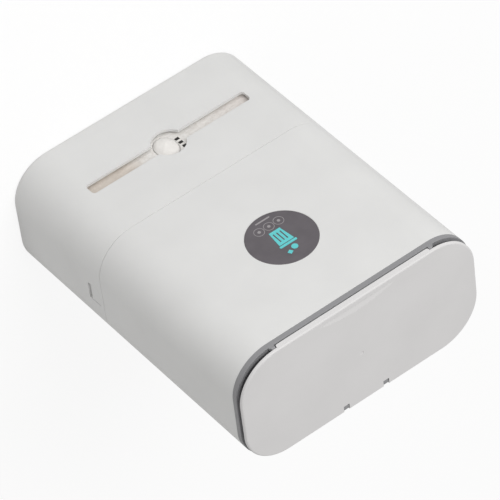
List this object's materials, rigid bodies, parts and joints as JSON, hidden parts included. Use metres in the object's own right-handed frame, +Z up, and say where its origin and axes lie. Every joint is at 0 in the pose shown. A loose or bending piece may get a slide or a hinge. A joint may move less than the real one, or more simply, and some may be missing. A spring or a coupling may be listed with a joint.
{
  "type": "waste bin with tissue dispenser",
  "caption": "Slim rounded countertop waste bin with a hinged lid, a grey bag ring and, below it, a detachable tissue dispenser box with a front slot and round pull hole.",
  "frame": {"origin": "middle of the footprint on the resting surface, with the bin standing upright", "axes": "+Z up from the tissue box to the lid, +X along the width to the right as seen from the front, -Y towards the front with the slot and the label"},
  "size_m": [0.2, 0.0964, 0.259],
  "materials": {
    "shell_white": "fine satin moulding",
    "lid_white": "fine satin moulding",
    "ring_grey": "satin",
    "seal_dark": "matt soft strip",
    "pin_steel": "drawn wire",
    "label_charcoal": "smooth laminated film",
    "print_turquoise": "smooth print",
    "print_pale": "smooth print",
    "tissue": "soft embossed tissue",
    "pack_film": "thin crinkled film"
  },
  "bodies": {
    "dispenser": {"tissue_box": "shell_white", "tissue_stack": "tissue", "tissue_film": "pack_film", "tissue_tuft": "tissue"},
    "bin": {"bin_body": "shell_white", "snap_catch_left": "shell_white", "snap_catch_right": "shell_white", "front_label": "label_charcoal", "front_print": "print_turquoise", "label_rings": "print_pale"},
    "ring": {"bag_ring": "ring_grey", "hinge_pin": "pin_steel"},
    "lid": {"lid": "lid_white", "lid_seal": "seal_dark"}
  },
  "joints": [
    {"name": "bin_lift", "type": "slide", "parent": "dispenser", "child": "bin", "axis": [0, 0, 1], "range_m": [0, 0.06], "deforming": ["snap_catch_left", "snap_catch_right"]},
    {"name": "ring_lift", "type": "slide", "parent": "bin", "child": "ring", "axis": [0, 0, 1], "range_m": [0, 0.05]},
    {"name": "lid_hinge", "type": "hinge", "parent": "ring", "child": "lid", "pos_m": [0, 0.0456, 0.2564], "axis": [-1, 0, 0], "range_deg": [0, 100]}
  ]
}
